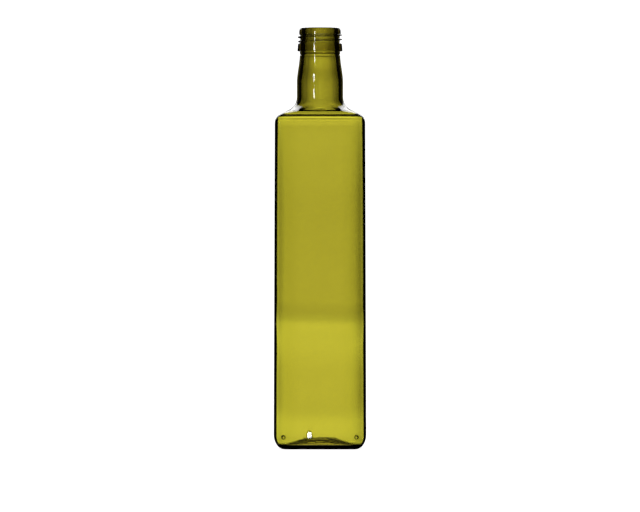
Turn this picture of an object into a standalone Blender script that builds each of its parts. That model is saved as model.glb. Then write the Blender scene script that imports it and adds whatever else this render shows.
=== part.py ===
"""A tall square oil bottle of green glass, blown in one piece, open at the mouth and empty.

The bottle stands on z = 0 with its axis on Z and its flat sides square to X and Y.
One profile runs from the middle of the underside, up the outside, over the lip, down the
bore and the inner wall to the middle of the floor. It is turned about Z, and each height of
it is then drawn out from a circle towards a square with rounded corners.
"""

import math

import bmesh
import bpy

MM = 0.001

# Whole bottle
HEIGHT = 300.0 * MM
STEPS_ROUND = 56
CORNER_SHARE = 0.43

# Body: a square with a slight draft, widest just above the heel, its corners superelliptic
HALF_WIDTH_AT_HEEL = 32.8 * MM
HALF_WIDTH_AT_SHOULDER = 32.1 * MM
CORNER_REACH = 7.7 * MM
CORNER_POWER = 3.3

# Heel and base
HEEL_HEIGHT = 10.44 * MM
HEEL_INSET = 7.7 * MM
BEARING_RING_WIDTH = 1.9 * MM
PUNT_DEPTH = 5.6 * MM
PUNT_FLAT = 0.4 * MM

# Shoulder: its edge is a superellipse between the upright side and the slope
SHOULDER_SLOPE = math.radians(28.6)
SHOULDER_EDGE_REACH = 5.5 * MM
SHOULDER_EDGE_POWER = 2.8
SHOULDER_EDGE_HEIGHT = 230.5 * MM
SHOULDER_FOOT_DROPS = (6.0 * MM, 2.7 * MM)
NECK_FILLET = 10.4 * MM

# Neck
NECK_RADIUS = 16.45 * MM
NECK_TOP_RADIUS = 14.4 * MM
FLARE_BOTTOM = 261.0 * MM
FLARE_TOP = 281.3 * MM

# Finish: the groove that the ring mould leaves, the ring that holds the closure's band, the
# thread's root and the lip
PARTING_GROOVE_HEIGHT = 280.85 * MM
PARTING_GROOVE_DEPTH = 0.46 * MM
PARTING_GROOVE_HALF = 0.8 * MM
RING_BOTTOM = 283.4 * MM
RING_TOP = 289.05 * MM
RING_BOTTOM_RADIUS = 16.05 * MM
RING_TOP_RADIUS = 15.75 * MM
RING_ROUND = 1.05 * MM
RING_EDGE = 0.25 * MM
GROOVE_RADIUS = 14.0 * MM
GROOVE_HEIGHT = 0.2 * MM
ROOT_RADIUS = 14.12 * MM
ROOT_STEP = 0.59 * MM
LIP_RADIUS = 14.86 * MM
LIP_BOTTOM = 295.37 * MM
LIP_ROUND = (1.46 * MM, 3.3 * MM)
BORE_TOP_RADIUS = 10.16 * MM
BORE_BOTTOM_RADIUS = 10.85 * MM
BORE_ROUND = (1.15 * MM, 1.17 * MM)
BORE_BOTTOM = 280.5 * MM
BORE_STEP = 1.8 * MM

# Thread: a right-hand ridge with one start that runs out into the ring
THREAD_RADIUS = 15.75 * MM
THREAD_PITCH = 3.175 * MM
THREAD_HEIGHT_AT_RIGHT = 294.93 * MM
THREAD_START = math.radians(55.0)
THREAD_END = math.radians(-575.0)
THREAD_TAPER = math.radians(45.0)
THREAD_STEPS = 70
THREAD_FOOT = 1.05 * MM
THREAD_CREST = 0.35 * MM
THREAD_ROUND = 0.12 * MM
THREAD_DEPTH = 0.8 * MM

# Glass thickness: of the neck by the part of the flare's height, of the shoulder by the
# distance along its outer line from the edge's foot, and of the body by height. The wall
# thins towards the corners, and in one level band where the glass settled.
WALL_AT_NECK = 3.2 * MM
NECK_WALLS = ((0.0, WALL_AT_NECK), (0.5, 3.45 * MM), (1.0, 3.2 * MM))
SHOULDER_WALLS = (
    (-4.0 * MM, 2.85 * MM),
    (3.2 * MM, 2.75 * MM),
    (6.9 * MM, 1.45 * MM),
    (10.1 * MM, 2.05 * MM),
    (13.1 * MM, 1.03 * MM),
    (16.1 * MM, 2.19 * MM),
    (27.2 * MM, WALL_AT_NECK),
)
WALL_AT_HEEL = 2.5 * MM
BODY_WALLS = (
    (18.0 * MM, 2.46 * MM),
    (34.0 * MM, 2.86 * MM),
    (53.0 * MM, 2.84 * MM),
    (81.0 * MM, 2.57 * MM),
    (88.0 * MM, 2.5 * MM),
    (103.0 * MM, 3.16 * MM),
    (177.0 * MM, 3.16 * MM),
    (205.0 * MM, 3.0 * MM),
    (226.5 * MM, 2.85 * MM),
)
CORNER_WALLS = (
    (20.0 * MM, 0.92 * MM),
    (48.0 * MM, 0.86 * MM),
    (72.5 * MM, 1.17 * MM),
    (91.0 * MM, 0.5 * MM),
    (105.0 * MM, 1.17 * MM),
    (119.0 * MM, 0.92 * MM),
    (180.0 * MM, 0.92 * MM),
    (212.0 * MM, 1.2 * MM),
    (227.0 * MM, 1.5 * MM),
)
THINNING_START = 12.3 * MM
THINNING_POWER = 3.0
WALL_HEIGHTS_MM = (205.0, 177.0, 106.0, 103.0, 99.0, 95.5, 92.0, 88.0, 81.0, 67.0, 53.0, 34.0, 18.0)

# Floor: a low dome inside, round in its middle and square at the heel
FLOOR_EDGE_HEIGHT = 3.55 * MM
FLOOR_TOP_HEIGHT = 8.3 * MM
FLOOR_EDGE_REACH = 27.42 * MM
FLOOR_DOME_REACH = 26.71 * MM
FLOOR_FLAT = 8.06 * MM
INNER_HEEL_TOP = 10.25 * MM
SQUARING_MARGIN = 4.0 * MM

SHARP_ANGLE = math.radians(35.0)
GLASS_GREEN = (0.42, 0.39, 0.03, 1.0)


def smooth(part):
    """Eases 0 to 1 with a level start and end."""
    part = min(max(part, 0.0), 1.0)
    return part * part * (3.0 - 2.0 * part)


def mix(first, second, part):
    return first + (second - first) * part


def arc(centre, radii, start, end, steps):
    """Points (reach, height) on an ellipse's arc, angles in degrees, both ends included."""
    points = []
    for step in range(steps + 1):
        angle = math.radians(mix(start, end, step / steps))
        reach = centre[0] + radii[0] * math.cos(angle)
        height = centre[1] + radii[1] * math.sin(angle)
        points.append((reach, height))
    return points


def eased(table, place):
    """A value from a table of (place, value) pairs, eased between them and level beyond them."""
    if place <= table[0][0]:
        return table[0][1]
    for (before, low), (after, high) in zip(table, table[1:]):
        if place <= after:
            return mix(low, high, smooth((place - before) / (after - before)))
    return table[-1][1]


def body_half_width(height):
    part = (height - HEEL_HEIGHT) / (SHOULDER_EDGE_HEIGHT - HEEL_HEIGHT)
    return mix(HALF_WIDTH_AT_HEEL, HALF_WIDTH_AT_SHOULDER, part)


def neck_radius(height):
    part = (height - FLARE_BOTTOM) / (FLARE_TOP - FLARE_BOTTOM)
    return mix(NECK_RADIUS, NECK_TOP_RADIUS, smooth(part))


def wall_thickness(height):
    """The body's wall in the middle of a side."""
    if height > BODY_WALLS[0][0]:
        return eased(BODY_WALLS, height)
    part = (height - INNER_HEEL_TOP) / (BODY_WALLS[0][0] - INNER_HEEL_TOP)
    return mix(WALL_AT_HEEL, BODY_WALLS[0][1], smooth(part))


def punt_height(reach):
    """The underside's hollow, which meets the ring that the bottle stands on."""
    ring_inner = HALF_WIDTH_AT_HEEL - HEEL_INSET - BEARING_RING_WIDTH
    return PUNT_DEPTH * smooth((ring_inner - reach) / (ring_inner - PUNT_FLAT))


def floor_height(reach):
    """The floor inside, raised in the middle as the underside is."""
    rise = FLOOR_TOP_HEIGHT - FLOOR_EDGE_HEIGHT
    return FLOOR_EDGE_HEIGHT + rise * smooth((FLOOR_DOME_REACH - reach) / (FLOOR_DOME_REACH - FLOOR_FLAT))


def shoulder_edge():
    """The rounded edge between the body's side and the shoulder's slope, going up."""
    along = (math.cos(SHOULDER_SLOPE), -math.sin(SHOULDER_SLOPE))
    centre = (
        HALF_WIDTH_AT_SHOULDER - SHOULDER_EDGE_REACH * along[0],
        SHOULDER_EDGE_HEIGHT - SHOULDER_EDGE_REACH * along[1],
    )
    points = []
    for step in range(7):
        angle = math.radians(90.0) * step / 6.0
        out = math.cos(angle)
        up = math.sin(angle)
        total = out**SHOULDER_EDGE_POWER + up**SHOULDER_EDGE_POWER
        reach = SHOULDER_EDGE_REACH * total ** (-1.0 / SHOULDER_EDGE_POWER)
        points.append((centre[0] + reach * out * along[0], centre[1] + reach * (out * along[1] + up)))
    return points


def outer_shoulder():
    """The line from the body's side over the shoulder to the neck, going up.

    The slope runs from the edge's end to the fillet, tangent to both, and so fixes the height of
    the fillet.
    """
    edge = shoulder_edge()
    turn = 90.0 - math.degrees(SHOULDER_SLOPE)
    foot = NECK_RADIUS + NECK_FILLET * (1.0 - math.sin(SHOULDER_SLOPE))
    rise = (edge[-1][0] - foot) * math.tan(SHOULDER_SLOPE)
    fillet_height = edge[-1][1] + rise + NECK_FILLET * math.cos(SHOULDER_SLOPE)
    slope = []
    for part in (0.33, 0.67):
        slope.append((mix(edge[-1][0], foot, part), edge[-1][1] + rise * part))
    bend = arc((NECK_RADIUS + NECK_FILLET, fillet_height), (NECK_FILLET, NECK_FILLET), 180.0 + turn, 180.0, 6)
    return edge + slope + bend


def inner_shoulder():
    """The same line inside: the outer one moved in by the glass's thickness, going up."""
    line = [(HALF_WIDTH_AT_SHOULDER, SHOULDER_EDGE_HEIGHT - drop) for drop in SHOULDER_FOOT_DROPS]
    line += outer_shoulder()
    distance = -SHOULDER_FOOT_DROPS[0]
    points = []
    for number, (reach, height) in enumerate(line):
        before = line[max(number - 1, 0)]
        after = line[min(number + 1, len(line) - 1)]
        if number:
            distance += math.dist(before, line[number])
        length = math.dist(before, after)
        outward = (after[1] - before[1]) / length
        upward = (before[0] - after[0]) / length
        thickness = eased(SHOULDER_WALLS, distance)
        points.append((reach - outward * thickness, height - upward * thickness))
    return points


def outer_profile():
    """Points (reach, height) from the middle of the underside up to the lip's top."""
    ring_outer = HALF_WIDTH_AT_HEEL - HEEL_INSET
    ring_inner = ring_outer - BEARING_RING_WIDTH
    points = []
    for part in (0.0, 0.22, 0.4, 0.58, 0.76, 0.9):
        reach = ring_inner * part
        points.append((reach, punt_height(reach)))
    points.append((ring_inner, 0.0))
    points += arc((ring_outer, HEEL_HEIGHT), (HEEL_INSET, HEEL_HEIGHT), -90.0, 0.0, 8)
    points += outer_shoulder()
    groove_start = PARTING_GROOVE_HEIGHT - PARTING_GROOVE_HALF
    for part in (0.0, 0.2, 0.4, 0.6, 0.8, 1.0):
        height = mix(FLARE_BOTTOM, groove_start, part)
        points.append((neck_radius(height), height))
    groove_reach = neck_radius(PARTING_GROOVE_HEIGHT) - PARTING_GROOVE_DEPTH
    points.append((groove_reach, PARTING_GROOVE_HEIGHT))
    points.append((NECK_TOP_RADIUS, PARTING_GROOVE_HEIGHT + PARTING_GROOVE_HALF))
    groove_bottom = RING_BOTTOM - GROOVE_HEIGHT
    points.append((NECK_TOP_RADIUS, groove_bottom - GROOVE_HEIGHT))
    points.append((GROOVE_RADIUS, groove_bottom))
    points.append((GROOVE_RADIUS, RING_BOTTOM))
    points.append((RING_BOTTOM_RADIUS - RING_EDGE, RING_BOTTOM))
    points.append((RING_BOTTOM_RADIUS, RING_BOTTOM + RING_EDGE))
    ring_centre = (RING_TOP_RADIUS - RING_ROUND, RING_TOP - RING_ROUND)
    points += arc(ring_centre, (RING_ROUND, RING_ROUND), 0.0, 90.0, 3)
    points.append((ROOT_RADIUS, RING_TOP))
    points.append((ROOT_RADIUS, LIP_BOTTOM - ROOT_STEP))
    points.append((LIP_RADIUS, LIP_BOTTOM))
    points += arc((LIP_RADIUS - LIP_ROUND[0], HEIGHT - LIP_ROUND[1]), LIP_ROUND, 0.0, 90.0, 5)
    return points


def inner_profile():
    """Points (reach, height) from the inside of the lip down to the middle of the floor."""
    points = arc((BORE_TOP_RADIUS + BORE_ROUND[0], HEIGHT - BORE_ROUND[1]), BORE_ROUND, 90.0, 180.0, 3)
    points.append((BORE_BOTTOM_RADIUS, BORE_BOTTOM))
    for part in (1.0, 0.8, 0.6, 0.4, 0.2, 0.0):
        height = mix(FLARE_BOTTOM, BORE_BOTTOM - BORE_STEP, part)
        points.append((neck_radius(height) - eased(NECK_WALLS, part), height))
    points += reversed(inner_shoulder())
    for height_mm in WALL_HEIGHTS_MM:
        height = height_mm * MM
        points.append((body_half_width(height) - wall_thickness(height), height))
    heel_reach = body_half_width(INNER_HEEL_TOP) - WALL_AT_HEEL
    heel_radii = (heel_reach - FLOOR_EDGE_REACH, INNER_HEEL_TOP - floor_height(FLOOR_EDGE_REACH))
    points += arc((FLOOR_EDGE_REACH, INNER_HEEL_TOP), heel_radii, 0.0, -90.0, 5)
    for part in (0.82, 0.66, 0.5, 0.34, 0.0):
        reach = FLOOR_EDGE_REACH * part
        points.append((reach, floor_height(reach)))
    return points


def squareness(reach, height):
    """0 where the bottle is round, 1 where it is square: it changes on the slope and in the base."""
    if height > SHOULDER_EDGE_HEIGHT - SHOULDER_EDGE_REACH:
        return smooth((reach - NECK_RADIUS) / (HALF_WIDTH_AT_SHOULDER - NECK_RADIUS - SQUARING_MARGIN))
    return smooth(reach / (FLOOR_EDGE_REACH - SQUARING_MARGIN))


def square_point(part):
    """A point a part of the way round a square of half width 1, its corners eased, and its normal.

    A fixed share of each quarter turn lies on the corner, so the points gather there.
    """
    corner = CORNER_REACH / HALF_WIDTH_AT_HEEL
    straight = 1.0 - corner
    quarter, along = divmod(part * 4.0 + 1e-9, 1.0)
    flat = (1.0 - CORNER_SHARE) / 2.0
    if along < flat:
        x, y, turn = 1.0, straight * along / flat, 0.0
    elif along > 1.0 - flat:
        x, y, turn = straight * (1.0 - along) / flat, 1.0, math.radians(90.0)
    else:
        angle = math.radians(90.0) * (along - flat) / CORNER_SHARE
        across = math.cos(angle)
        up = math.sin(angle)
        reach = corner * (across**CORNER_POWER + up**CORNER_POWER) ** (-1.0 / CORNER_POWER)
        x = straight + reach * across
        y = straight + reach * up
        turn = math.atan2(up ** (CORNER_POWER - 1.0), across ** (CORNER_POWER - 1.0))
    normal_x, normal_y = math.cos(turn), math.sin(turn)
    for _ in range(int(quarter) % 4):
        x, y = -y, x
        normal_x, normal_y = -normal_y, normal_x
    return (x, y), (normal_x, normal_y)


def inner_square_point(part, height):
    """The inside's point as a part of its reach, where the wall thins towards the corners."""
    (x, y), (normal_x, normal_y) = square_point(part)
    half_width = body_half_width(height)
    middle = wall_thickness(height)
    corner_start = half_width - CORNER_REACH * (1.0 - 0.5 ** (1.0 / CORNER_POWER))
    from_middle = half_width * min(abs(x), abs(y))
    thinned = (from_middle - THINNING_START) / (corner_start - THINNING_START)
    thinned = min(max(thinned, 0.0), 1.0) ** THINNING_POWER
    thickness = mix(middle, min(eased(CORNER_WALLS, height), middle), thinned)
    inner = half_width - middle
    return (x * half_width - normal_x * thickness) / inner, (y * half_width - normal_y * thickness) / inner


def turned_bottle():
    """The whole skin of the glass as one closed mesh."""
    outside = outer_profile()
    stations = outside + inner_profile()
    bm = bmesh.new()
    station_of = bm.verts.layers.int.new("station")
    line = []
    for number, (reach, height) in enumerate(stations):
        vert = bm.verts.new((reach, 0.0, height))
        vert[station_of] = number
        line.append(vert)
    edges = [bm.edges.new(pair) for pair in zip(line, line[1:])]
    bmesh.ops.spin(
        bm,
        geom=line + edges,
        cent=(0.0, 0.0, 0.0),
        axis=(0.0, 0.0, 1.0),
        angle=math.tau,
        steps=STEPS_ROUND,
        use_merge=True,
    )
    for vert in bm.verts:
        number = vert[station_of]
        reach, height = stations[number]
        if reach == 0.0:
            continue
        turn = math.atan2(vert.co.y, vert.co.x) % math.tau
        part = round(turn / math.tau * STEPS_ROUND) % STEPS_ROUND / STEPS_ROUND
        if number < len(outside):
            square_x, square_y = square_point(part)[0]
        else:
            wall_height = min(max(height, INNER_HEEL_TOP), SHOULDER_EDGE_HEIGHT - SHOULDER_EDGE_REACH)
            square_x, square_y = inner_square_point(part, wall_height)
        share = squareness(reach, height)
        x = mix(math.cos(part * math.tau), square_x, share)
        y = mix(math.sin(part * math.tau), square_y, share)
        vert.co = (reach * x, reach * y, height)
    bmesh.ops.remove_doubles(bm, verts=bm.verts, dist=1e-6)
    bmesh.ops.recalc_face_normals(bm, faces=bm.faces)
    return bm


def thread_ridge():
    """The screw thread as one closed ridge, sunk into the neck and tapering away at both ends."""
    bm = bmesh.new()
    loops = []
    for step in range(THREAD_STEPS + 1):
        turn = mix(THREAD_START, THREAD_END, step / THREAD_STEPS)
        height = THREAD_HEIGHT_AT_RIGHT + THREAD_PITCH * turn / math.tau
        from_end = min(THREAD_START - turn, turn - THREAD_END)
        foot = ROOT_RADIUS - THREAD_DEPTH
        crest = mix(foot + THREAD_ROUND * 2.0, THREAD_RADIUS, smooth(from_end / THREAD_TAPER))
        section = (
            (foot, -THREAD_FOOT),
            (crest - THREAD_ROUND, -THREAD_CREST),
            (crest, 0.0),
            (crest - THREAD_ROUND, THREAD_CREST),
            (foot, THREAD_FOOT),
        )
        loop = []
        for reach, lift in section:
            place = (reach * math.cos(turn), reach * math.sin(turn), height + lift)
            loop.append(bm.verts.new(place))
        loops.append(loop)
    for loop, following in zip(loops, loops[1:]):
        for index in range(len(loop)):
            after = (index + 1) % len(loop)
            bm.faces.new((loop[index], loop[after], following[after], following[index]))
    bm.faces.new(loops[0])
    bm.faces.new(loops[-1])
    bmesh.ops.recalc_face_normals(bm, faces=bm.faces)
    return bm


def add_object(name, bm):
    mesh = bpy.data.meshes.new(name)
    bm.to_mesh(mesh)
    bm.free()
    mesh.shade_smooth()
    mesh.set_sharp_from_angle(angle=SHARP_ANGLE)
    made = bpy.data.objects.new(name, mesh)
    bpy.context.scene.collection.objects.link(made)
    return made


def glass():
    """Olive green bottle glass."""
    material = bpy.data.materials.new("green_glass")
    material.use_nodes = True
    shader = material.node_tree.nodes["Principled BSDF"]
    shader.inputs["Base Color"].default_value = GLASS_GREEN
    shader.inputs["Roughness"].default_value = 0.03
    shader.inputs["Metallic"].default_value = 0.0
    shader.inputs["IOR"].default_value = 1.52
    shader.inputs["Transmission Weight"].default_value = 1.0
    return material


def build():
    for old in list(bpy.data.objects):
        bpy.data.objects.remove(old, do_unlink=True)
    bottle = add_object("bottle", turned_bottle())
    bottle.data.materials.append(glass())
    ridge = add_object("thread_ridge", thread_ridge())
    ridge.hide_render = True
    ridge.display_type = "WIRE"
    union = bottle.modifiers.new("thread", "BOOLEAN")
    union.operation = "UNION"
    union.object = ridge


build()
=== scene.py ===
"""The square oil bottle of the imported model, dressed as green bottle glass in a white studio."""

import math

import bmesh
import bpy
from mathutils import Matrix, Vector, noise


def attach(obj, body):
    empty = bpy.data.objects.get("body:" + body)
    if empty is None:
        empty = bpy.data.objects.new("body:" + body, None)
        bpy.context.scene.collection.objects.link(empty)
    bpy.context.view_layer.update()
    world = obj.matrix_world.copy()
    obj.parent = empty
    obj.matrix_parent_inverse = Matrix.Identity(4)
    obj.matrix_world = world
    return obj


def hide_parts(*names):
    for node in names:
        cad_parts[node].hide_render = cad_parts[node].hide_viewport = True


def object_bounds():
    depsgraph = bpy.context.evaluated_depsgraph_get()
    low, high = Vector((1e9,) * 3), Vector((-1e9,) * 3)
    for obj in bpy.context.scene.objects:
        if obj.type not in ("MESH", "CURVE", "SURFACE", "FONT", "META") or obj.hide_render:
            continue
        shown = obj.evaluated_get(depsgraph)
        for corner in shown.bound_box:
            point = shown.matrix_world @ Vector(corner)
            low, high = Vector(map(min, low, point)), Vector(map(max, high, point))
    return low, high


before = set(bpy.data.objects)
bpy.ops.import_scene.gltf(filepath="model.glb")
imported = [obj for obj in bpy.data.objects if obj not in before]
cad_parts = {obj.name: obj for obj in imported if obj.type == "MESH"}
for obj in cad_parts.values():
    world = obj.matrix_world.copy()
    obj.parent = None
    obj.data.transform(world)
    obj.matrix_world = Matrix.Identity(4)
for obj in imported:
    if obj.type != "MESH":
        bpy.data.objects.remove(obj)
cad_low, cad_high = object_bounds()

# The bottle
# One piece of olive green soda-lime glass, blown in a square mould and fire-polished, with a
# round screw finish made in a ring mould. It is open and empty. Its skin is one profile turned
# about Z and then drawn out to a square, at the sizes of the solid that it replaces.
MM = 0.001
FULL_TURN = math.tau
QUARTER_TURN = FULL_TURN / 4.0
HEIGHT = cad_high.z
STEPS_ROUND = 180
PUNT_STEPS = 25
EDGE_STEPS = 24
FLARE_STEPS = 60
BORE_STEPS = 40
SIDE_STEPS = (18, 34, 16)
FLOOR_STEPS = 32
CORNER_SHARE = 0.43
ROUNDING_GUARD = 1e-9
WELD_DISTANCE = 1e-7

half_width_at_heel = 32.8 * MM
half_width_at_shoulder = 32.1 * MM
corner_reach = 7.7 * MM
corner_power = 3.3
thinning_start = 12.3 * MM
thinning_power = 3.0

heel_height = 10.44 * MM
heel_inset = 7.7 * MM
bearing_ring_outer = half_width_at_heel - heel_inset
bearing_ring_inner = bearing_ring_outer - 1.9 * MM
punt_depth = 5.6 * MM
punt_flat = 0.4 * MM

shoulder_slope = math.radians(28.6)
shoulder_edge_reach = 5.5 * MM
shoulder_edge_power = 2.8
shoulder_edge_height = 230.5 * MM
shoulder_foot_drops = (6.0 * MM, 4.0 * MM, 2.7 * MM, 1.3 * MM)
neck_fillet = 10.4 * MM
square_margin = 4.0 * MM

neck_radius = 16.45 * MM
neck_top_radius = 14.4 * MM
flare_bottom = 261.0 * MM
flare_top = 281.3 * MM

ring_bottom = 283.4 * MM
ring_top = 289.05 * MM
ring_bottom_radius = 16.05 * MM
ring_top_radius = 15.75 * MM
ring_round = 1.05 * MM
ring_round_end = 85.0
ring_edge = 0.25 * MM
groove_radius = 14.0 * MM
groove_height = 0.2 * MM
groove_draft = 0.05 * MM
groove_run_in = 0.2 * MM
parting_groove_height = 280.85 * MM
parting_groove_depth = 0.46 * MM
parting_groove_half = 0.8 * MM
root_radius = 14.12 * MM
root_rise = 0.1 * MM
root_step = 0.59 * MM
lip_radius = 14.86 * MM
lip_bottom = 295.37 * MM
lip_round = (1.46 * MM, 3.3 * MM)
bore_top_radius = 10.16 * MM
bore_bottom_radius = 10.85 * MM
bore_round = (1.15 * MM, 1.17 * MM)
bore_bottom = 280.5 * MM
bore_step = 1.8 * MM

thread_radius = 15.75 * MM
thread_pitch = 3.175 * MM
thread_height_at_right = 294.93 * MM
thread_start = math.radians(55.0)
thread_end = math.radians(-575.0)
thread_taper = math.radians(45.0)
thread_foot = 0.78 * MM
thread_crest = 0.29 * MM

# Wall thicknesses: up the flare by parts of its height, over the shoulder by the distance
# from its edge, and in the body by the height, at the middle of a side and at a corner.
wall_at_neck = 3.2 * MM
neck_walls = (
    (0.0, wall_at_neck),
    (0.5, 3.45 * MM),
    (1.0, 3.2 * MM),
)
shoulder_walls = (
    (-4.0 * MM, 2.85 * MM),
    (0.0 * MM, 2.86 * MM),
    (3.2 * MM, 2.75 * MM),
    (6.9 * MM, 1.45 * MM),
    (10.1 * MM, 2.05 * MM),
    (13.1 * MM, 1.03 * MM),
    (16.1 * MM, 2.19 * MM),
    (27.2 * MM, wall_at_neck),
)
body_walls = (
    (12.0 * MM, 2.5 * MM),
    (18.0 * MM, 2.46 * MM),
    (34.0 * MM, 2.86 * MM),
    (53.0 * MM, 2.84 * MM),
    (81.0 * MM, 2.57 * MM),
    (88.0 * MM, 2.5 * MM),
    (103.0 * MM, 3.16 * MM),
    (177.0 * MM, 3.16 * MM),
    (205.0 * MM, 3.0 * MM),
    (226.5 * MM, 2.85 * MM),
)
corner_walls = (
    (20.0 * MM, 0.92 * MM),
    (48.0 * MM, 0.86 * MM),
    (72.5 * MM, 1.17 * MM),
    (91.0 * MM, 0.5 * MM),
    (105.0 * MM, 1.17 * MM),
    (119.0 * MM, 0.92 * MM),
    (180.0 * MM, 0.92 * MM),
    (212.0 * MM, 1.2 * MM),
    (227.0 * MM, 1.5 * MM),
)
thin_band_top = 106.0 * MM
thin_band_bottom = 72.0 * MM
wave_tilt = 1.45 * MM
wave_stagger = 2.0 * MM
wave_bottom = 30.0 * MM
wave_top = 200.0 * MM
wave_fade = 30.0 * MM
ripple_depth = 0.05 * MM
ripple_size = 16.0 * MM
floor_ripple_depth = 0.45 * MM
floor_ripple_size = 3.2 * MM
floor_ripple_reach = 24.0 * MM
floor_ripple_fade = 8.0 * MM

floor_edge_height = 3.55 * MM
floor_top_height = 8.3 * MM
floor_edge_reach = 27.42 * MM
floor_flat = 8.06 * MM
floor_dome_reach = 26.71 * MM
inner_heel_top = 10.25 * MM
wall_at_heel = 2.5 * MM


def smooth(part):
    """Eases 0 to 1 with a level start and end."""
    part = min(max(part, 0.0), 1.0)
    return part * part * (3.0 - 2.0 * part)


def mix(first, second, part):
    return first + (second - first) * part


def even_parts(count):
    """Even steps from 0 to 1, both ends included."""
    return [step / count for step in range(count + 1)]


def steps_between(first, second, count):
    """Points on a straight line, without its first end."""
    parts = even_parts(count)[1:]
    return [(mix(first[0], second[0], part), mix(first[1], second[1], part)) for part in parts]


def arc(centre, radii, start, end, count):
    """Points (reach, height) on an ellipse's arc, angles in degrees, both ends included."""
    points = []
    for part in even_parts(count):
        angle = math.radians(mix(start, end, part))
        reach = centre[0] + radii[0] * math.cos(angle)
        height = centre[1] + radii[1] * math.sin(angle)
        points.append((reach, height))
    return points


def superellipse_reach(angle, power):
    """How far out a superellipse of half width 1 is at an angle in its first quarter."""
    return (math.cos(angle) ** power + math.sin(angle) ** power) ** (-1.0 / power)


def body_half_width(height):
    part = (height - heel_height) / (shoulder_edge_height - heel_height)
    return mix(half_width_at_heel, half_width_at_shoulder, part)


def neck_reach(height):
    part = (height - flare_bottom) / (flare_top - flare_bottom)
    return mix(neck_radius, neck_top_radius, smooth(part))


def eased(table, place):
    """A value from a table of (place, value) pairs, eased between them and level beyond them."""
    if place <= table[0][0]:
        return table[0][1]
    for (before, low), (after, high) in zip(table, table[1:]):
        if place <= after:
            return mix(low, high, smooth((place - before) / (after - before)))
    return table[-1][1]


def shoulder_edge():
    """The rounded edge between the body's side and the shoulder's slope, going up."""
    down_slope = (math.cos(shoulder_slope), -math.sin(shoulder_slope))
    centre_reach = half_width_at_shoulder - shoulder_edge_reach * down_slope[0]
    centre_height = shoulder_edge_height - shoulder_edge_reach * down_slope[1]
    points = []
    for part in even_parts(EDGE_STEPS):
        angle = QUARTER_TURN * part
        reach = shoulder_edge_reach * superellipse_reach(angle, shoulder_edge_power)
        out, up = reach * math.cos(angle), reach * math.sin(angle)
        points.append((centre_reach + out * down_slope[0], centre_height + out * down_slope[1] + up))
    return points


def outer_shoulder():
    """The line from the body's side over the shoulder to the neck, going up."""
    edge = shoulder_edge()
    turn = 90.0 - math.degrees(shoulder_slope)
    foot_reach = neck_radius + neck_fillet * (1.0 - math.sin(shoulder_slope))
    foot_height = edge[-1][1] + (edge[-1][0] - foot_reach) * math.tan(shoulder_slope)
    centre = (neck_radius + neck_fillet, foot_height + neck_fillet * math.cos(shoulder_slope))
    bend = arc(centre, (neck_fillet, neck_fillet), 180.0 + turn, 180.0, count=18)
    return edge + steps_between(edge[-1], bend[0], count=16)[:-1] + bend


def inner_shoulder():
    """The same line inside: the outer one moved in by the glass's thickness, going up."""
    foot = [(half_width_at_shoulder, shoulder_edge_height - drop) for drop in shoulder_foot_drops]
    over = outer_shoulder()
    line = foot + over + [(neck_radius, mix(over[-1][1], flare_bottom, 0.5))]
    distance = -shoulder_foot_drops[0]
    points = []
    for number, (reach, height) in enumerate(line):
        if number:
            distance += math.dist(line[number - 1], line[number])
        before, after = line[max(number - 1, 0)], line[min(number + 1, len(line) - 1)]
        along = Vector((after[0] - before[0], after[1] - before[1])).normalized()
        thickness = eased(shoulder_walls, distance)
        points.append((reach - along.y * thickness, height + along.x * thickness))
    return points


def punt_height(reach):
    """The underside's hollow, which meets the ring that the bottle stands on."""
    return punt_depth * smooth((bearing_ring_inner - reach) / (bearing_ring_inner - punt_flat))


def floor_height(reach):
    """The floor inside, raised in the middle as the underside is."""
    part = (floor_dome_reach - reach) / (floor_dome_reach - floor_flat)
    return mix(floor_edge_height, floor_top_height, smooth(part))


def wall_thickness(height):
    """The wall at the middle of a side, which eases into the heel's at its foot."""
    foot, wall_at_foot = body_walls[0]
    if height > foot:
        return eased(body_walls, height)
    part = (height - inner_heel_top) / (foot - inner_heel_top)
    return mix(wall_at_heel, wall_at_foot, smooth(part))


def outer_base():
    """The underside's hollow, the ring that the bottle stands on and the heel, going out and up."""
    points = []
    for part in even_parts(PUNT_STEPS)[:-1]:
        reach = bearing_ring_inner * part
        points.append((reach, punt_height(reach)))
    points.append((bearing_ring_inner, 0.0))
    points.append((mix(bearing_ring_inner, bearing_ring_outer, 0.5), 0.0))
    centre = (bearing_ring_outer, heel_height)
    return points + arc(centre, (heel_inset, heel_height), -90.0, 0.0, count=24)


def outer_neck():
    """The neck's flare, with the fine groove where two moulds parted, going up."""
    points = []
    for part in even_parts(FLARE_STEPS):
        height = mix(flare_bottom, ring_bottom - groove_height - groove_run_in, part)
        near = 1.0 - abs(height - parting_groove_height) / parting_groove_half
        points.append((neck_reach(height) - parting_groove_depth * smooth(near), height))
    return points


def closure_ring():
    """The ring that a closure's band grips under, and the undercut below it, going up."""
    points = [(groove_radius, ring_bottom - groove_height)]
    points.append((groove_radius + groove_draft, ring_bottom))
    edge_centre = (ring_bottom_radius - ring_edge, ring_bottom + ring_edge)
    points += steps_between(points[-1], (edge_centre[0], ring_bottom), count=3)[:-1]
    points += arc(edge_centre, (ring_edge, ring_edge), -90.0, 0.0, count=4)
    round_centre = (ring_top_radius - ring_round, ring_top - ring_round)
    points += steps_between(points[-1], (ring_top_radius, round_centre[1]), count=8)[:-1]
    return points + arc(round_centre, (ring_round, ring_round), 0.0, ring_round_end, count=9)


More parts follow.
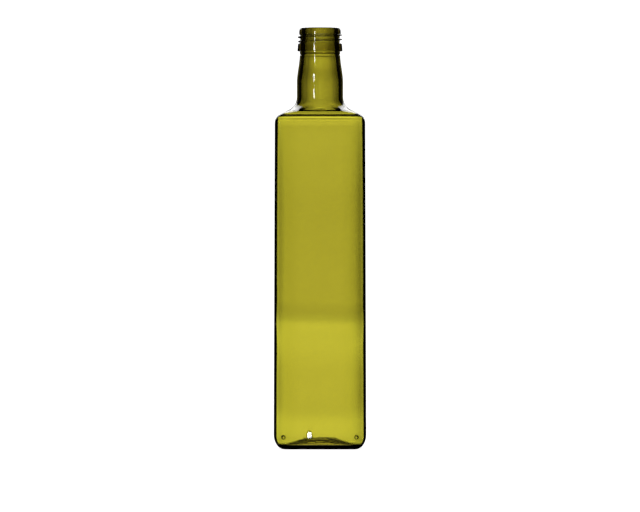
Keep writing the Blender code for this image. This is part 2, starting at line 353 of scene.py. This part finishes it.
def core_and_lip():
    """The core that the thread stands on, and the lip over it, going up."""
    points = [(root_radius, ring_top + root_rise)]
    points += steps_between(points[-1], (root_radius, lip_bottom - root_step), count=58)
    points += steps_between(points[-1], (lip_radius, lip_bottom), count=4)
    centre = (lip_radius - lip_round[0], HEIGHT - lip_round[1])
    points += steps_between(points[-1], (lip_radius, centre[1]), count=8)[:-1]
    return points + arc(centre, lip_round, 0.0, 90.0, count=12)


def outer_profile():
    """Points from the middle of the underside up to the lip's top."""
    base = outer_base()
    side = steps_between(base[-1], (half_width_at_shoulder, shoulder_edge_height), count=22)
    return base + side[:-1] + outer_shoulder() + outer_neck() + closure_ring() + core_and_lip()


def bore():
    """The mouth's round edge and the bore, down to the foot of the flare."""
    centre = (bore_top_radius + bore_round[0], HEIGHT - bore_round[1])
    points = arc(centre, bore_round, 90.0, 180.0, count=10)
    points += steps_between(points[-1], (bore_bottom_radius, bore_bottom), count=8)
    for part in reversed(even_parts(BORE_STEPS)):
        height = mix(flare_bottom, bore_bottom - bore_step, part)
        points.append((neck_reach(height) - eased(neck_walls, part), height))
    return points


def inner_side(top):
    """The inside of the body's wall, going down, in close steps over its thin band."""
    ends = (top, thin_band_top, thin_band_bottom, inner_heel_top)
    heights = []
    for high, low, count in zip(ends, ends[1:], SIDE_STEPS):
        heights += [mix(high, low, part) for part in even_parts(count)[1:]]
    return [(body_half_width(height) - wall_thickness(height), height) for height in heights[:-1]]


def inner_base():
    """The round foot of the inside and its domed floor, going in to the middle."""
    side_reach = body_half_width(inner_heel_top) - wall_at_heel
    radii = (side_reach - floor_edge_reach, inner_heel_top - floor_height(floor_edge_reach))
    points = arc((floor_edge_reach, inner_heel_top), radii, 0.0, -90.0, count=24)
    for part in even_parts(FLOOR_STEPS)[1:]:
        reach = floor_edge_reach * (1.0 - part)
        points.append((reach, floor_height(reach)))
    return points


def inner_profile():
    """Points from the inside of the lip down to the middle of the floor."""
    shoulder = inner_shoulder()[::-1]
    return bore() + shoulder + inner_side(shoulder[-1][1]) + inner_base()


def squareness(reach, height):
    """0 where the bottle is round, 1 where it is square."""
    if height > shoulder_edge_height - shoulder_edge_reach:
        return smooth((reach - neck_radius) / (half_width_at_shoulder - neck_radius - square_margin))
    return smooth(reach / (floor_edge_reach - square_margin))


def square_point(part):
    """A point part of the way round an eased square of half width 1, and its normal."""
    quarter, along = divmod(part * 4.0 + ROUNDING_GUARD, 1.0)
    flat = (1.0 - CORNER_SHARE) / 2.0
    corner = corner_reach / half_width_at_heel
    straight = 1.0 - corner
    if along < flat:
        x, y, turn = 1.0, straight * along / flat, 0.0
    elif along > 1.0 - flat:
        x, y, turn = straight * (1.0 - along) / flat, 1.0, QUARTER_TURN
    else:
        angle = QUARTER_TURN * (along - flat) / CORNER_SHARE
        out, up = math.cos(angle), math.sin(angle)
        reach = corner * superellipse_reach(angle, corner_power)
        x, y = straight + reach * out, straight + reach * up
        turn = math.atan2(up ** (corner_power - 1.0), out ** (corner_power - 1.0))
    normal_x, normal_y = math.cos(turn), math.sin(turn)
    for _ in range(int(quarter) % 4):
        x, y = -y, x
        normal_x, normal_y = -normal_y, normal_x
    return (x, y), (normal_x, normal_y)


def inner_square_point(part, height):
    """The inside's point, in parts of its own reach. The wall thins towards the corners."""
    (x, y), (normal_x, normal_y) = square_point(part)
    half_width = body_half_width(height)
    turn = FULL_TURN * part
    shift = wave_tilt * math.cos(turn) + wave_stagger * math.sin(turn)
    fade = smooth((height - wave_bottom) / wave_fade) * smooth((wave_top - height) / wave_fade)
    wave_height = height + shift * fade
    middle = wall_thickness(wave_height)
    corner_middle = half_width - corner_reach * (1.0 - 0.5 ** (1.0 / corner_power))
    from_middle = half_width * min(abs(x), abs(y))
    thinned = (from_middle - thinning_start) / (corner_middle - thinning_start)
    thinned = min(max(thinned, 0.0), 1.0) ** thinning_power
    thickness = mix(middle, min(eased(corner_walls, wave_height), middle), thinned)
    inner = half_width - wall_thickness(height)
    inner_x = (x * half_width - normal_x * thickness) / inner
    inner_y = (y * half_width - normal_y * thickness) / inner
    return inner_x, inner_y


def thread_reach(turn, height):
    """How far the thread's ridge stands from the axis at a place on the finish."""
    highest = root_radius
    for lap in (0, -1, -2):
        along = turn + lap * FULL_TURN
        if not thread_end < along < thread_start:
            continue
        middle = thread_height_at_right + thread_pitch * along / FULL_TURN
        flank = (thread_foot - abs(height - middle)) / (thread_foot - thread_crest)
        fade = smooth(min(thread_start - along, along - thread_end) / thread_taper)
        highest = max(highest, mix(root_radius, thread_radius, smooth(flank) * fade))
    return highest


def settled(place, reach):
    """The faint unevenness of the blown inside: ripples in the walls and a lumpy floor."""
    if place.z > inner_heel_top:
        across = Vector((place.x, place.y, 0.0)).normalized()
        below_shoulder = smooth((shoulder_edge_height - place.z) / ripple_size)
        above_heel = smooth((place.z - inner_heel_top) / ripple_size)
        depth = ripple_depth * below_shoulder * above_heel
        return across * depth * noise.noise(place / ripple_size)
    fade = smooth((floor_ripple_reach - reach) / floor_ripple_fade)
    flat_place = Vector((place.x, place.y, 0.0)) / floor_ripple_size
    return Vector((0.0, 0.0, floor_ripple_depth * fade * noise.noise(flat_place)))


def skin_place(reach, height, part, inside):
    """Where a point of the profile comes to lie part of the way round the bottle."""
    turn = part * FULL_TURN
    if inside:
        wall_height = min(max(height, inner_heel_top), shoulder_edge_height - shoulder_edge_reach)
        square_x, square_y = inner_square_point(part, wall_height)
    else:
        square_x, square_y = square_point(part)[0]
        if ring_top - ring_round < height < lip_bottom + lip_round[1]:
            reach = max(reach, thread_reach(turn, height))
    share = squareness(reach, height)
    x = mix(math.cos(turn), square_x, share)
    y = mix(math.sin(turn), square_y, share)
    place = Vector((reach * x, reach * y, height))
    if inside:
        place += settled(place, reach)
    return place


def turned_bottle():
    """Spins the profile about Z, then draws each ring of it out and raises the thread."""
    outside = outer_profile()
    stations = outside + inner_profile()
    skin = bmesh.new()
    station_of = skin.verts.layers.int.new("station")
    line = []
    for number, (reach, height) in enumerate(stations):
        vert = skin.verts.new((reach, 0.0, height))
        vert[station_of] = number
        line.append(vert)
    edges = [skin.edges.new(pair) for pair in zip(line, line[1:])]
    bmesh.ops.spin(
        skin,
        geom=line + edges,
        cent=(0.0, 0.0, 0.0),
        axis=(0.0, 0.0, 1.0),
        angle=FULL_TURN,
        steps=STEPS_ROUND,
        use_merge=True,
    )
    for vert in skin.verts:
        number = vert[station_of]
        reach, height = stations[number]
        if reach > 0.0:
            step = round(math.atan2(vert.co.y, vert.co.x) / FULL_TURN * STEPS_ROUND) % STEPS_ROUND
            vert.co = skin_place(reach, height, step / STEPS_ROUND, number >= len(outside))
    bmesh.ops.remove_doubles(skin, verts=skin.verts, dist=WELD_DISTANCE)
    bmesh.ops.recalc_face_normals(skin, faces=skin.faces)
    return skin


# The glass has a tint at its surface and a colour that deepens with its thickness. The marks
# of the mould and the grain of the skin are fine relief in its surface.
surface_tint = (1.0, 1.0, 0.282, 1.0)
depth_colour = (0.729, 0.703, 0.657, 1.0)
depth_density = 700.0
glass_index = 1.52
mark_place = (25.9 * MM, -31.6 * MM, 8.8 * MM)
mark_radius = 1.35 * MM
mark_half_width = 0.6 * MM
lug_place = (-7.5 * MM, -32.3 * MM, 10.3 * MM)
lug_radii = (2.2 * MM, 6.0 * MM, 3.4 * MM)
lug_edge = (0.8, 1.0)
lug_lean = 0.25
mark_relief = 0.4 * MM
skin_relief = 0.006 * MM
skin_grain = 420.0
skin_detail = 2.0


def number_node(tree, operation, *sources):
    """A Math node fed by numbers or by other nodes' outputs."""
    node = tree.nodes.new("ShaderNodeMath")
    node.operation = operation
    for socket, source in zip(node.inputs, sources):
        if isinstance(source, (int, float)):
            socket.default_value = source
        else:
            tree.links.new(source, socket)
    return node.outputs["Value"]


def vector_node(tree, operation, result, *sources):
    """A Vector Math node fed by triples or by other nodes' outputs."""
    node = tree.nodes.new("ShaderNodeVectorMath")
    node.operation = operation
    for socket, source in zip(node.inputs, sources):
        if isinstance(source, tuple):
            socket.default_value = source
        else:
            tree.links.new(source, socket)
    return node.outputs[result]


def eased_range(tree, source, low, high, at_low, at_high):
    """A value that eases from one level to another as its source crosses a range."""
    node = tree.nodes.new("ShaderNodeMapRange")
    node.interpolation_type = "SMOOTHSTEP"
    ends = {"From Min": low, "From Max": high, "To Min": at_low, "To Max": at_high}
    for name, value in ends.items():
        node.inputs[name].default_value = value
    tree.links.new(source, node.inputs["Value"])
    return node.outputs["Result"]


def relief(tree, height, distance, under=None):
    """A Bump node over another one's normal."""
    node = tree.nodes.new("ShaderNodeBump")
    node.inputs["Strength"].default_value = 1.0
    node.inputs["Distance"].default_value = distance
    tree.links.new(height, node.inputs["Height"])
    if under:
        tree.links.new(under, node.inputs["Normal"])
    return node.outputs["Normal"]


def mould_marks(tree, place):
    """The heel's relief: a small ring near each corner of the front, and one flat oval lug.

    The lug's face leans to one side and upwards. Below the heel's top it stands out by as much
    as the heel curves back, so that it stays flat."""
    sides = tree.nodes.new("ShaderNodeSeparateXYZ")
    tree.links.new(place, sides.inputs["Vector"])
    either_side = tree.nodes.new("ShaderNodeCombineXYZ")
    tree.links.new(number_node(tree, "ABSOLUTE", sides.outputs["X"]), either_side.inputs["X"])
    tree.links.new(sides.outputs["Y"], either_side.inputs["Y"])
    tree.links.new(sides.outputs["Z"], either_side.inputs["Z"])
    from_mark = vector_node(tree, "DISTANCE", "Value", either_side.outputs["Vector"], mark_place)
    off_ring = number_node(tree, "ABSOLUTE", number_node(tree, "SUBTRACT", from_mark, mark_radius))
    ring = eased_range(tree, off_ring, 0.0, mark_half_width, 1.0, 0.0)
    from_lug = vector_node(tree, "SUBTRACT", "Vector", place, lug_place)
    scaled = vector_node(tree, "DIVIDE", "Vector", from_lug, lug_radii)
    lug = eased_range(tree, vector_node(tree, "LENGTH", "Value", scaled), *lug_edge, 1.0, 0.0)
    lean = lug_lean / mark_relief
    leaning = vector_node(tree, "DOT_PRODUCT", "Value", from_lug, (lean, 0.0, -lean))
    below_heel = number_node(tree, "SUBTRACT", heel_height, sides.outputs["Z"])
    drop = number_node(tree, "MAXIMUM", below_heel, 0.0)
    curve_of_heel = heel_inset / (2.0 * heel_height**2 * mark_relief)
    filled = number_node(tree, "MULTIPLY", number_node(tree, "MULTIPLY", drop, drop), curve_of_heel)
    face = number_node(tree, "ADD", leaning, filled)
    return number_node(tree, "ADD", ring, number_node(tree, "MULTIPLY", lug, face))


def bottle_glass():
    """Clear glass that takes its colour from its depth, with the mould's marks and a faint skin."""
    material = bpy.data.materials.new("olive_bottle_glass")
    material.use_nodes = True
    tree = material.node_tree
    shader = tree.nodes["Principled BSDF"]
    shader.inputs["Base Color"].default_value = surface_tint
    shader.inputs["Roughness"].default_value = 0.0
    shader.inputs["IOR"].default_value = glass_index
    shader.inputs["Transmission Weight"].default_value = 1.0
    depth = tree.nodes.new("ShaderNodeVolumeAbsorption")
    depth.inputs["Color"].default_value = depth_colour
    depth.inputs["Density"].default_value = depth_density
    tree.links.new(depth.outputs["Volume"], tree.nodes["Material Output"].inputs["Volume"])
    place = tree.nodes.new("ShaderNodeTexCoord").outputs["Object"]
    grain = tree.nodes.new("ShaderNodeTexNoise")
    grain.inputs["Scale"].default_value = skin_grain
    grain.inputs["Detail"].default_value = skin_detail
    tree.links.new(place, grain.inputs["Vector"])
    skin = relief(tree, grain.outputs["Fac"], skin_relief)
    surface = relief(tree, mould_marks(tree, place), mark_relief, skin)
    tree.links.new(surface, shader.inputs["Normal"])
    return material


bottle_skin = turned_bottle()
bottle_mesh = bpy.data.meshes.new("green_bottle")
bottle_skin.to_mesh(bottle_mesh)
bottle_skin.free()
bottle_mesh.shade_smooth()
bottle_mesh.materials.append(bottle_glass())
bottle = bpy.data.objects.new("green_bottle", bottle_mesh)
bpy.context.scene.collection.objects.link(bottle)
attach(bottle, "root")
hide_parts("bottle")

# The floor
# A round sheet of white matt board under the bottle, wide enough to lie behind it from above.
# It glows evenly, so that it stays white, and the glass doesn't show it.
floor_radius = 1.6
floor_sides = 96
board_colour = (0.82, 0.82, 0.82, 1.0)
board_roughness = 0.9
board_glow = 0.95
floor_mesh = bpy.data.meshes.new("floor")
floor_skin = bmesh.new()
bmesh.ops.create_circle(floor_skin, cap_ends=True, segments=floor_sides, radius=floor_radius)
floor_skin.to_mesh(floor_mesh)
floor_skin.free()
floor = bpy.data.objects.new("floor", floor_mesh)
bpy.context.scene.collection.objects.link(floor)
board = bpy.data.materials.new("white_board")
board.use_nodes = True
board_shader = board.node_tree.nodes["Principled BSDF"]
board_shader.inputs["Base Color"].default_value = board_colour
board_shader.inputs["Roughness"].default_value = board_roughness
board_shader.inputs["Emission Color"].default_value = (1.0, 1.0, 1.0, 1.0)
board_shader.inputs["Emission Strength"].default_value = board_glow
floor_mesh.materials.append(board)
floor.visible_transmission = False
floor.visible_glossy = False

# The light
# White screens stand behind the bottle and at its sides, each brightest in its middle and
# brighter under the horizon than over it. A small soft lamp at the front left makes the
# highlight on the neck, and a large one overhead lights the floor.
world = bpy.data.worlds.new("studio")
bpy.context.scene.world = world
world.use_nodes = True
sky = world.node_tree
degree = math.radians(1.0)
strength_limit = 3.0
white_board_strength = 1.2

# Strengths by degrees from the nearest screen's middle: for light that crosses both walls, and
# for light that turns back inside one wall. The third table goes by degrees above the horizon.
past_one_wall = 2.5
straight_strengths = (
    (-45.0, 0.22),
    (-32.0, 0.22),
    (-22.0, 0.3),
    (-15.0, 0.42),
    (-10.0, 0.33),
    (-6.0, 0.68),
    (-3.0, 0.92),
    (0.0, 1.0),
    (3.0, 0.91),
    (6.0, 0.82),
    (10.0, 0.49),
    (15.0, 0.43),
    (22.0, 0.37),
    (32.0, 0.24),
    (45.0, 0.22),
)
turned_strengths = (
    (-45.0, 0.01),
    (-30.0, 0.01),
    (-15.0, 0.04),
    (-5.0, 0.5),
    (0.0, 1.0),
    (5.0, 0.5),
    (15.0, 0.04),
    (30.0, 0.01),
    (45.0, 0.01),
)
height_strengths = (
    (-90.0, 0.7),
    (-28.0, 0.45),
    (-15.0, 0.95),
    (-9.0, 2.09),
    (-2.0, 1.55),
    (0.0, 1.45),
    (2.2, 1.22),
    (10.0, 0.9),
    (18.0, 0.32),
    (30.0, 0.5),
    (90.0, 0.5),
)
open_from, open_to = 9.0 * degree, 16.0 * degree
mirrored_strength = 2.2
mirrored_bottom = (8.0 * degree, 13.0 * degree)
mirrored_top = (38.0 * degree, 48.0 * degree)
mirrored_side = (22.0 * degree, 32.0 * degree)


def strengths_by_angle(angle, stops):
    """A light's strength read off a table of (degrees, strength) pairs."""
    spread = sky.nodes.new("ShaderNodeMapRange")
    spread.inputs["From Min"].default_value = stops[0][0] * degree
    spread.inputs["From Max"].default_value = stops[-1][0] * degree
    sky.links.new(angle, spread.inputs["Value"])
    ramp = sky.nodes.new("ShaderNodeValToRGB")
    sky.links.new(spread.outputs["Result"], ramp.inputs["Fac"])
    elements = ramp.color_ramp.elements
    for number, (at, value) in enumerate(stops):
        spot = (at - stops[0][0]) / (stops[-1][0] - stops[0][0])
        element = elements[number] if number < 2 else elements.new(spot)
        element.position = spot
        level = value / strength_limit
        element.color = (level, level, level, 1.0)
    return number_node(sky, "MULTIPLY", ramp.outputs["Color"], strength_limit)


direction = sky.nodes.new("ShaderNodeSeparateXYZ")
sky.links.new(sky.nodes.new("ShaderNodeTexCoord").outputs["Generated"], direction.inputs["Vector"])
bearing = number_node(sky, "ARCTAN2", direction.outputs["X"], direction.outputs["Y"])
elevation = number_node(sky, "ARCSINE", direction.outputs["Z"])
half_screen = QUARTER_TURN / 2.0
from_corner = number_node(sky, "ADD", bearing, half_screen)
wrapped = number_node(sky, "FLOORED_MODULO", from_corner, QUARTER_TURN)
from_axis = number_node(sky, "SUBTRACT", wrapped, half_screen)

ray = sky.nodes.new("ShaderNodeLightPath")
mirror_ray = ray.outputs["Is Reflection Ray"]
camera_ray = ray.outputs["Is Camera Ray"]
straight_ray = number_node(sky, "GREATER_THAN", ray.outputs["Transmission Depth"], past_one_wall)
turned_ray = number_node(sky, "SUBTRACT", 1.0, straight_ray)

screen = strengths_by_angle(from_axis, straight_strengths)
screen_edge = strengths_by_angle(from_axis, turned_strengths)
open_above = eased_range(sky, number_node(sky, "ABSOLUTE", elevation), open_from, open_to, 0.0, 1.0)
shut = number_node(sky, "SUBTRACT", 1.0, screen)
opened = number_node(sky, "ADD", screen, number_node(sky, "MULTIPLY", shut, open_above))
sideways = number_node(
    sky,
    "ADD",
    number_node(sky, "MULTIPLY", opened, straight_ray),
    number_node(sky, "MULTIPLY", screen_edge, turned_ray),
)
by_height = strengths_by_angle(elevation, height_strengths)
through_glass = number_node(sky, "MULTIPLY", by_height, sideways)

above = eased_range(sky, elevation, *mirrored_bottom, 0.0, mirrored_strength)
below = eased_range(sky, elevation, *mirrored_top, 1.0, 0.0)
within = eased_range(sky, number_node(sky, "ABSOLUTE", bearing), *mirrored_side, 1.0, 0.0)
mirrored = number_node(sky, "MULTIPLY", number_node(sky, "MULTIPLY", above, below), within)
other_ray = number_node(sky, "SUBTRACT", 1.0, mirror_ray)
glass_light = number_node(
    sky,
    "ADD",
    number_node(sky, "MULTIPLY", mirrored, mirror_ray),
    number_node(sky, "MULTIPLY", through_glass, other_ray),
)
unseen = number_node(sky, "SUBTRACT", 1.0, camera_ray)
strength = number_node(
    sky,
    "ADD",
    number_node(sky, "MULTIPLY", glass_light, unseen),
    number_node(sky, "MULTIPLY", camera_ray, white_board_strength),
)
background = sky.nodes["Background"]
background.inputs["Color"].default_value = (1.0, 1.0, 1.0, 1.0)
sky.links.new(strength, background.inputs["Strength"])


def soft_light(name, place, target, size, power):
    """A rectangular soft light that faces a point."""
    light = bpy.data.lights.new(name, "AREA")
    light.shape = "RECTANGLE"
    light.size, light.size_y = size
    light.energy = power
    lamp = bpy.data.objects.new(name, light)
    lamp.location = place
    lamp.rotation_euler = (Vector(target) - Vector(place)).to_track_quat("-Z", "Y").to_euler()
    bpy.context.scene.collection.objects.link(lamp)
    return lamp


key_distance = 0.8
key_side = math.radians(30.0)
key_height = 0.39
key_size = (0.075, 0.2)
key_power = 0.9
neck_middle = (0.0, 0.0, 0.27)
key_place = (-key_distance * math.sin(key_side), -key_distance * math.cos(key_side), key_height)
soft_light("key", key_place, neck_middle, key_size, key_power)

overhead_height = 2.4
overhead_size = (2.0, 2.0)
overhead_power = 12.0
on_floor = (0.0, 0.0, 0.0)
overhead = soft_light("overhead", (0.0, 0.0, overhead_height), on_floor, overhead_size, overhead_power)
overhead.visible_glossy = False
overhead.visible_transmission = False

# The camera
# It looks level at a point just under the bottle's middle, from far off, so that upright lines
# stay parallel. Its lens follows from the real size that one pixel covers at the bottle.
camera_distance = 4.5
eye_height = 0.13725
pixel_size = 0.7135 * MM
picture_width = 640
sensor_width = 36.0
far_end = 50.0
glass_bounces = 24
camera_data = bpy.data.cameras.new("camera")
camera_data.sensor_width = sensor_width
camera_data.lens = sensor_width * camera_distance / (picture_width * pixel_size)
camera_data.clip_end = far_end
camera = bpy.data.objects.new("camera", camera_data)
camera.location = (0.0, -camera_distance, eye_height)
camera.rotation_euler = (QUARTER_TURN, 0.0, 0.0)
bpy.context.scene.collection.objects.link(camera)
bpy.context.scene.camera = camera

scene = bpy.context.scene
scene.view_settings.view_transform = "Standard"
scene.cycles.max_bounces = glass_bounces
scene.cycles.transmission_bounces = glass_bounces
